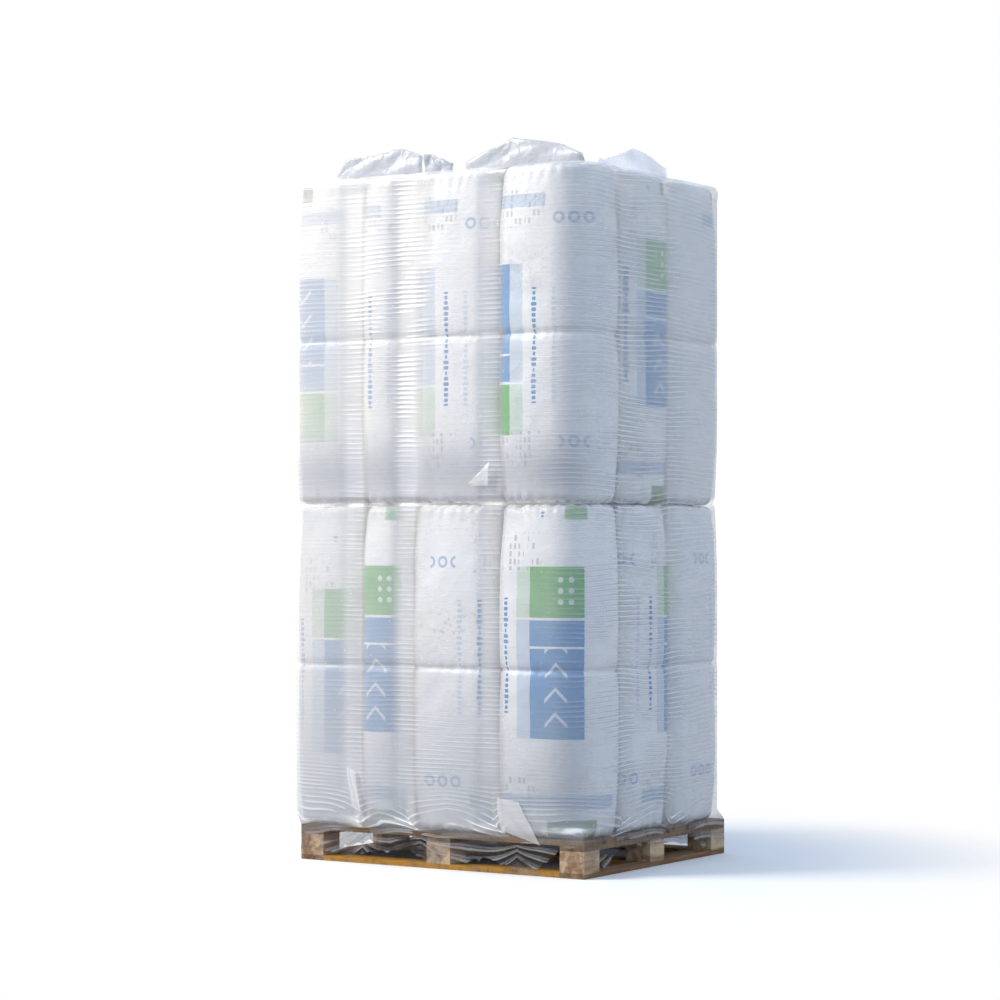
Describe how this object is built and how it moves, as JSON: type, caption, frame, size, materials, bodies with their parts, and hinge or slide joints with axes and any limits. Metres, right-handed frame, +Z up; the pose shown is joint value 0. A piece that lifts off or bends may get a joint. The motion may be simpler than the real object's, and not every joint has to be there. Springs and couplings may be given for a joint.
{
  "type": "stretch-wrapped pallet of insulation rolls",
  "caption": "Loaded wooden block pallet: upright bagged mineral wool rolls, held together by clear stretch film.",
  "frame": {"origin": "centre of the pallet's underside, on the floor", "axes": "+X along the long side to the right, +Y to the back, +Z up"},
  "size_m": [1.2658, 1.0048, 2.566],
  "materials": {
    "bagged_wool": "satin",
    "bag_film": "satin",
    "stretch_film": "gloss",
    "pallet_wood": "rough sawn"
  },
  "bodies": {
    "root": {"bag_tail_front_centre": "bag_film", "bag_tail_front_left": "bag_film", "bag_tail_front_right": "bag_film", "bag_tail_right": "bag_film", "base_board_back": "pallet_wood", "base_board_front": "pallet_wood", "base_board_left": "pallet_wood", "base_board_middle": "pallet_wood", "base_board_right": "pallet_wood", "block_back_centre": "pallet_wood", "block_back_left": "pallet_wood", "block_back_right": "pallet_wood", "block_front_centre": "pallet_wood", "block_front_left": "pallet_wood", "block_front_right": "pallet_wood", "block_middle_centre": "pallet_wood", "block_middle_left": "pallet_wood", "block_middle_right": "pallet_wood", "deck_board_1": "pallet_wood", "deck_board_2": "pallet_wood", "deck_board_3": "pallet_wood", "deck_board_4": "pallet_wood", "deck_board_5": "pallet_wood", "deck_board_6": "pallet_wood", "deck_board_7": "pallet_wood", "lower_roll_back_centre": "bagged_wool", "lower_roll_back_inner_left": "bagged_wool", "lower_roll_back_left": "bagged_wool", "lower_roll_back_right": "bagged_wool", "lower_roll_front_centre": "bagged_wool", "lower_roll_front_inner_left": "bagged_wool", "lower_roll_front_left": "bagged_wool", "lower_roll_front_right": "bagged_wool", "lower_roll_middle_centre": "bagged_wool", "lower_roll_middle_right": "bagged_wool", "stretch_film": "stretch_film", "stringer_centre": "pallet_wood", "stringer_left": "pallet_wood", "stringer_right": "pallet_wood", "upper_roll_back_centre": "bagged_wool", "upper_roll_back_inner_left": "bagged_wool", "upper_roll_back_left": "bagged_wool", "upper_roll_back_right": "bagged_wool", "upper_roll_front_centre": "bagged_wool", "upper_roll_front_inner_left": "bagged_wool", "upper_roll_front_left": "bagged_wool", "upper_roll_front_right": "bagged_wool", "upper_roll_middle_centre": "bagged_wool", "upper_roll_middle_right": "bagged_wool"}
  },
  "joints": []
}
